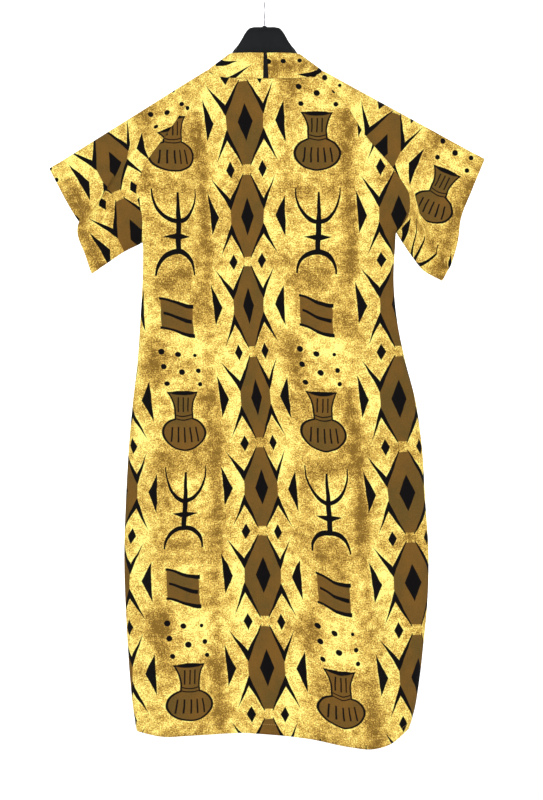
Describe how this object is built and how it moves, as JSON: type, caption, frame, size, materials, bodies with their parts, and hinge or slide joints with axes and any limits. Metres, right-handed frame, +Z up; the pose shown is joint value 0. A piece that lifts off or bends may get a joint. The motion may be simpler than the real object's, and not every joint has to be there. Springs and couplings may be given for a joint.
{
  "type": "printed tunic dress on a hanger",
  "caption": "Long raglan tunic dress in printed cotton with elbow sleeves, a banded V neck and a rounded body, hanging open and hollow on a broad hanger with a wire hook.",
  "frame": {"origin": "the seat inside the top of the hook, where a rail bears", "axes": "+Z up, +X to the right seen from behind the garment, whose back faces -Y and whose front faces +Y"},
  "size_m": [0.783, 0.1411, 1.3405],
  "materials": {
    "printed_cotton": "plain-weave cotton, matt, gold ground mottled with ochre under a print in brown and black",
    "black_plastic": "satin black, smooth",
    "chrome_wire": "bright plated steel wire"
  },
  "bodies": {
    "root": {"back_skirt": "printed_cotton", "back_waist": "printed_cotton", "back_yoke": "printed_cotton", "front_skirt": "printed_cotton", "front_waist": "printed_cotton", "front_yoke": "printed_cotton", "sleeve_left": "printed_cotton", "sleeve_right": "printed_cotton", "neckband_left": "printed_cotton", "neckband_right": "printed_cotton", "hanger": "black_plastic", "hook": "chrome_wire"}
  },
  "joints": []
}
